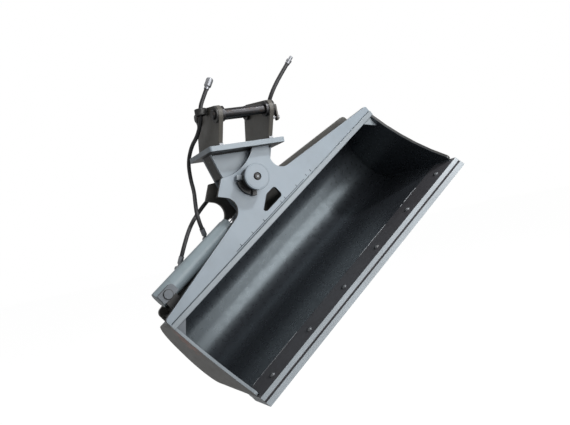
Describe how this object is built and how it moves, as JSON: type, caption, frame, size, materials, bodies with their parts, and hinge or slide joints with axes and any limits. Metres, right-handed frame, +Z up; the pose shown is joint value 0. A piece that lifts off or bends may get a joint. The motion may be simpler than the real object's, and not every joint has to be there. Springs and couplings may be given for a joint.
{
  "type": "articulated excavator bucket",
  "caption": "Wide grading bucket hung on a tilt pivot, with a hydraulic tilt cylinder, a hanger with two hitch pins, a bolt-on edge and two hoses.",
  "frame": {"origin": "centre of the front hitch pin, midway between the ears", "axes": "+X along the hitch pins to the picture's right, +Y away from the mouth towards the bucket's back, +Z up; the hanger stands level and the bucket hangs at full tilt, left side down"},
  "size_m": [1.5324, 0.723, 1.5168],
  "materials": {
    "frame_paint": "satin",
    "dark_paint": "satin",
    "inside_paint": "gloss",
    "bare_steel": "worn",
    "bronze": "machined",
    "edge_steel": "satin",
    "cylinder_paint": "satin",
    "rod_chrome": "polished",
    "zinc": "zinc plated",
    "hose_rubber": "matt"
  },
  "bodies": {
    "hanger": {"base_plate": "frame_paint", "front_cheek": "frame_paint", "rear_cheek": "frame_paint", "hanger_side_left": "dark_paint", "hanger_side_right": "dark_paint", "pivot_tube": "dark_paint", "pivot_bushes": "bronze", "thrust_washers": "bare_steel", "rod_pin_ends": "bare_steel", "ear_left": "dark_paint", "ear_right": "dark_paint", "ear_foot_pads": "bare_steel", "front_hitch_pin": "bare_steel", "rear_hitch_pin": "bare_steel", "ear_rings": "dark_paint", "pin_spacers": "dark_paint", "pin_keepers": "dark_paint", "keeper_bolts": "bare_steel", "hose_guide": "dark_paint", "hose_left": "hose_rubber", "hose_right": "hose_rubber", "coupling_socket": "zinc", "coupling_plug": "zinc"},
    "bucket": {"front_pivot_plate": "frame_paint", "rear_pivot_plate": "dark_paint", "bucket_shell": "inside_paint", "side_plate_left": "frame_paint", "side_plate_right": "frame_paint", "mouth_lip_bar": "frame_paint", "corner_gussets": "frame_paint", "base_edge": "edge_steel", "bolt_on_edge": "edge_steel", "edge_bolts": "bare_steel", "edge_nuts": "bare_steel", "pivot_boss_front": "dark_paint", "pivot_boss_rear": "dark_paint", "pivot_pin": "bare_steel", "pivot_cap": "frame_paint", "rear_pivot_washer": "bare_steel", "pivot_cap_bolt": "bare_steel", "rear_pivot_bolt": "bare_steel", "boss_lugs": "dark_paint", "lock_plate": "dark_paint", "end_plate_left": "frame_paint", "end_plate_right": "frame_paint", "rear_ribs": "dark_paint", "cylinder_lug_front": "frame_paint", "cylinder_lug_rear": "frame_paint", "cylinder_base_pin": "bare_steel"},
    "barrel": {"cylinder_base_end": "cylinder_paint", "cylinder_barrel": "cylinder_paint", "port_bosses": "cylinder_paint", "cylinder_gland": "cylinder_paint", "hose_fittings": "zinc", "port_bolts": "zinc"},
    "rod": {"cylinder_rod": "rod_chrome", "cylinder_piston": "bare_steel", "rod_eye": "cylinder_paint", "rod_eye_pin": "bare_steel"}
  },
  "joints": [
    {"name": "bucket_tilt", "type": "hinge", "parent": "hanger", "child": "bucket", "pos_m": [0, 0.07, -0.309], "axis": [0, 1, 0], "range_deg": [0, 67], "deforming": ["hose_left", "hose_right"]},
    {"name": "cylinder_swing", "type": "hinge", "parent": "bucket", "child": "barrel", "pos_m": [-0.4874, 0.18, -0.75392], "axis": [0, 1, 0], "range_deg": [0, 0.1076]},
    {"name": "rod_slide", "type": "slide", "parent": "barrel", "child": "rod", "axis": [0.8281, 0, 0.5606], "range_m": [0, 0.12704]}
  ],
  "couplings": [
    {"joint": "cylinder_swing", "follows": "bucket_tilt", "ratio": 0.0015733},
    {"joint": "rod_slide", "follows": "bucket_tilt", "m_per_rad": 0.10855}
  ]
}
